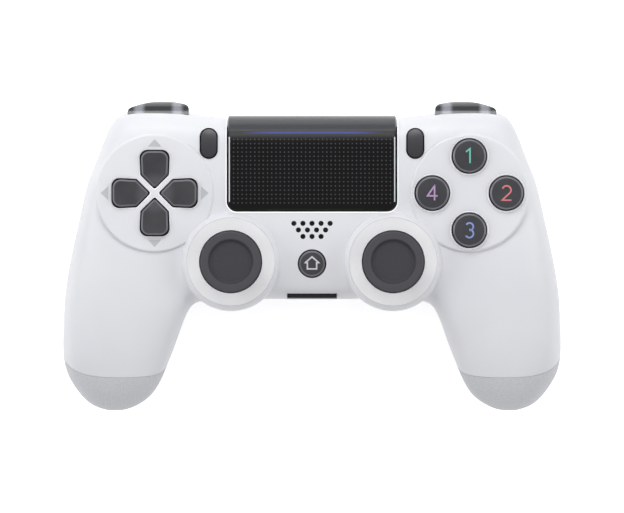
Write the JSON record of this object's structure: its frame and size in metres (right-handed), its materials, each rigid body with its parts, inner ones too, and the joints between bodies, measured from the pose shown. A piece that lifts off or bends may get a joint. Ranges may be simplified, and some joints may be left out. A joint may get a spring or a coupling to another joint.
{
  "type": "gamepad",
  "caption": "Two-handed gamepad with a direction pad, round face buttons, two thumb sticks, a click touchpad, bumpers and triggers, on a two-part curved shell.",
  "frame": {"origin": "under the middle of the outline, on the level that the grips and the trigger tips rest on when the pad lies on its back", "axes": "+X to the right of a player looking at the face, +Y towards the bumpers and triggers, +Z out of the face"},
  "size_m": [0.1622, 0.1006, 0.052],
  "materials": {
    "shell_white": "satin",
    "shell_back": "fine textured matt",
    "pad_black": "satin with a printed dot grid",
    "circuit_board": "solder mask",
    "switch_plastic": "satin",
    "light_bar": "frosted",
    "key_grey": "semi-gloss",
    "carbon_rubber": "matt",
    "silicone": "matt",
    "printed_film": "printed",
    "shoulder_gloss": "gloss",
    "spring_steel": "drawn",
    "frame_plastic": "matt",
    "stick_rubber": "matt",
    "socket_steel": "stamped",
    "chip_black": "matt",
    "battery_wrap": "shrink wrap",
    "speaker_can": "painted",
    "port_black": "satin",
    "screw_steel": "zinc plated",
    "motor_can": "drawn",
    "weight_metal": "sintered"
  },
  "bodies": {
    "shell": {"front_shell": "shell_white", "rear_shell": "shell_back", "light_guide": "light_bar", "touch_switch": "switch_plastic", "dpad_membrane": "silicone", "button_membrane": "silicone", "centre_membranes": "silicone", "control_film": "printed_film", "mid_frame": "frame_plastic", "main_board": "circuit_board", "board_chips": "chip_black", "battery": "battery_wrap", "charge_board": "circuit_board", "usb_socket": "socket_steel", "speaker": "speaker_can", "extension_port": "port_black", "headset_jack": "port_black", "shell_screws": "screw_steel", "stick_click_switches": "switch_plastic", "shoulder_membranes": "silicone", "left_shoulder_frame": "frame_plastic", "left_trigger_spring": "spring_steel", "left_stick_housing": "socket_steel", "left_stick_sensors": "switch_plastic", "left_stick_spring": "spring_steel", "left_rumble_motor": "motor_can", "right_shoulder_frame": "frame_plastic", "right_trigger_spring": "spring_steel", "right_stick_housing": "socket_steel", "right_stick_sensors": "switch_plastic", "right_stick_spring": "spring_steel", "right_rumble_motor": "motor_can"},
    "touchpad": {"touchpad_cover": "pad_black", "touch_board": "circuit_board"},
    "dpad_sideways": {"dpad_side_contacts": "carbon_rubber"},
    "dpad": {"dpad": "key_grey", "dpad_end_contacts": "carbon_rubber"},
    "button_top": {"button_top": "key_grey"},
    "button_right": {"button_right": "key_grey"},
    "button_bottom": {"button_bottom": "key_grey"},
    "button_left": {"button_left": "key_grey"},
    "home_button": {"home_button": "key_grey"},
    "left_function_button": {"left_function_button": "key_grey"},
    "left_bumper": {"left_bumper": "shoulder_gloss"},
    "left_trigger": {"left_trigger": "shoulder_gloss"},
    "left_stick_plunger": {"left_stick_plunger": "frame_plastic"},
    "left_stick_lower_rocker": {"left_stick_lower_rocker": "frame_plastic"},
    "left_stick": {"left_stick_shaft": "key_grey", "left_stick_cap": "stick_rubber"},
    "left_stick_upper_rocker": {"left_stick_upper_rocker": "frame_plastic"},
    "left_rumble_weight": {"left_rumble_weight": "weight_metal"},
    "right_function_button": {"right_function_button": "key_grey"},
    "right_bumper": {"right_bumper": "shoulder_gloss"},
    "right_trigger": {"right_trigger": "shoulder_gloss"},
    "right_stick_plunger": {"right_stick_plunger": "frame_plastic"},
    "right_stick_lower_rocker": {"right_stick_lower_rocker": "frame_plastic"},
    "right_stick": {"right_stick_shaft": "key_grey", "right_stick_cap": "stick_rubber"},
    "right_stick_upper_rocker": {"right_stick_upper_rocker": "frame_plastic"},
    "right_rumble_weight": {"right_rumble_weight": "weight_metal"}
  },
  "joints": [
    {"name": "touchpad_click", "type": "hinge", "parent": "shell", "child": "touchpad", "pos_m": [0, 0.038, 0.034], "axis": [1, 0, 0], "range_deg": [0, 1.2], "stiffness_Nm_per_rad": 1, "springref_deg": -1.15},
    {"name": "dpad_left_right", "type": "hinge", "parent": "shell", "child": "dpad_sideways", "pos_m": [-0.0509, 0.0203, 0.0385], "axis": [0, 1, 0], "range_deg": [-3, 3], "stiffness_Nm_per_rad": 0.2, "deforming": ["dpad_membrane"]},
    {"name": "dpad_up_down", "type": "hinge", "parent": "dpad_sideways", "child": "dpad", "pos_m": [-0.0509, 0.0203, 0.0385], "axis": [1, 0, 0], "range_deg": [-3, 3], "stiffness_Nm_per_rad": 0.2, "deforming": ["dpad_membrane"]},
    {"name": "button_top_press", "type": "slide", "parent": "shell", "child": "button_top", "axis": [0, 0, -1], "range_m": [0, 0.0012], "stiffness_N_per_m": 500, "springref_m": -0.0006, "deforming": ["button_membrane"]},
    {"name": "button_right_press", "type": "slide", "parent": "shell", "child": "button_right", "axis": [0, 0, -1], "range_m": [0, 0.0012], "stiffness_N_per_m": 500, "springref_m": -0.0006, "deforming": ["button_membrane"]},
    {"name": "button_bottom_press", "type": "slide", "parent": "shell", "child": "button_bottom", "axis": [0, 0, -1], "range_m": [0, 0.0012], "stiffness_N_per_m": 500, "springref_m": -0.0006, "deforming": ["button_membrane"]},
    {"name": "button_left_press", "type": "slide", "parent": "shell", "child": "button_left", "axis": [0, 0, -1], "range_m": [0, 0.0012], "stiffness_N_per_m": 500, "springref_m": -0.0006, "deforming": ["button_membrane"]},
    {"name": "home_button_press", "type": "slide", "parent": "shell", "child": "home_button", "axis": [0, 0, -1], "range_m": [0, 0.0009], "stiffness_N_per_m": 500, "springref_m": -0.0006, "deforming": ["centre_membranes"]},
    {"name": "left_function_button_press", "type": "slide", "parent": "shell", "child": "left_function_button", "axis": [0, 0, -1], "range_m": [0, 0.001], "stiffness_N_per_m": 500, "springref_m": -0.0006, "deforming": ["centre_membranes"]},
    {"name": "right_function_button_press", "type": "slide", "parent": "shell", "child": "right_function_button", "axis": [0, 0, -1], "range_m": [0, 0.001], "stiffness_N_per_m": 500, "springref_m": -0.0006, "deforming": ["centre_membranes"]},
    {"name": "left_bumper_press", "type": "hinge", "parent": "shell", "child": "left_bumper", "pos_m": [-0.04315, 0.04162, 0.0279], "axis": [0, 0, 1], "range_deg": [0, 2.5], "stiffness_Nm_per_rad": 0.3, "springref_deg": -1.72, "deforming": ["shoulder_membranes"]},
    {"name": "left_trigger_pull", "type": "hinge", "parent": "shell", "child": "left_trigger", "pos_m": [-0.0499, 0.03852, 0.022], "axis": [1, 0, 0], "range_deg": [-20, 0], "stiffness_Nm_per_rad": 0.043, "springref_deg": 24.06},
    {"name": "left_stick_click", "type": "slide", "parent": "shell", "child": "left_stick_plunger", "axis": [0, 0, -1], "range_m": [0, 0.0005], "stiffness_N_per_m": 4000, "springref_m": -0.0005, "deforming": ["left_stick_spring"]},
    {"name": "left_stick_up_down", "type": "hinge", "parent": "left_stick_plunger", "child": "left_stick_lower_rocker", "pos_m": [-0.0262, -0.0019, 0.0306], "axis": [1, 0, 0], "range_deg": [-16, 16], "stiffness_Nm_per_rad": 0.03},
    {"name": "left_stick_left_right", "type": "hinge", "parent": "left_stick_lower_rocker", "child": "left_stick", "pos_m": [-0.0262, -0.0019, 0.0306], "axis": [0, 1, 0], "range_deg": [-16, 16], "stiffness_Nm_per_rad": 0.03},
    {"name": "left_stick_upper_rocker_turn", "type": "hinge", "parent": "shell", "child": "left_stick_upper_rocker", "pos_m": [-0.0262, -0.0019, 0.0306], "axis": [0, 1, 0], "range_deg": [-16, 16]},
    {"name": "left_rumble_spin", "type": "hinge", "parent": "shell", "child": "left_rumble_weight", "pos_m": [-0.057, -0.013, 0.018], "axis": [1, 0, 0], "continuous": true},
    {"name": "right_bumper_press", "type": "hinge", "parent": "shell", "child": "right_bumper", "pos_m": [0.04315, 0.04162, 0.0279], "axis": [0, 0, -1], "range_deg": [0, 2.5], "stiffness_Nm_per_rad": 0.3, "springref_deg": -1.72, "deforming": ["shoulder_membranes"]},
    {"name": "right_trigger_pull", "type": "hinge", "parent": "shell", "child": "right_trigger", "pos_m": [0.0499, 0.03852, 0.022], "axis": [1, 0, 0], "range_deg": [-20, 0], "stiffness_Nm_per_rad": 0.043, "springref_deg": 24.06},
    {"name": "right_stick_click", "type": "slide", "parent": "shell", "child": "right_stick_plunger", "axis": [0, 0, -1], "range_m": [0, 0.0005], "stiffness_N_per_m": 4000, "springref_m": -0.0005, "deforming": ["right_stick_spring"]},
    {"name": "right_stick_up_down", "type": "hinge", "parent": "right_stick_plunger", "child": "right_stick_lower_rocker", "pos_m": [0.0262, -0.0019, 0.0306], "axis": [1, 0, 0], "range_deg": [-16, 16], "stiffness_Nm_per_rad": 0.03},
    {"name": "right_stick_left_right", "type": "hinge", "parent": "right_stick_lower_rocker", "child": "right_stick", "pos_m": [0.0262, -0.0019, 0.0306], "axis": [0, 1, 0], "range_deg": [-16, 16], "stiffness_Nm_per_rad": 0.03},
    {"name": "right_stick_upper_rocker_turn", "type": "hinge", "parent": "shell", "child": "right_stick_upper_rocker", "pos_m": [0.0262, -0.0019, 0.0306], "axis": [0, 1, 0], "range_deg": [-16, 16]},
    {"name": "right_rumble_spin", "type": "hinge", "parent": "shell", "child": "right_rumble_weight", "pos_m": [0.057, -0.013, 0.018], "axis": [1, 0, 0], "continuous": true}
  ],
  "couplings": [
    {"joint": "left_stick_upper_rocker_turn", "follows": "left_stick_left_right", "ratio": 1},
    {"joint": "right_stick_upper_rocker_turn", "follows": "right_stick_left_right", "ratio": 1}
  ]
}
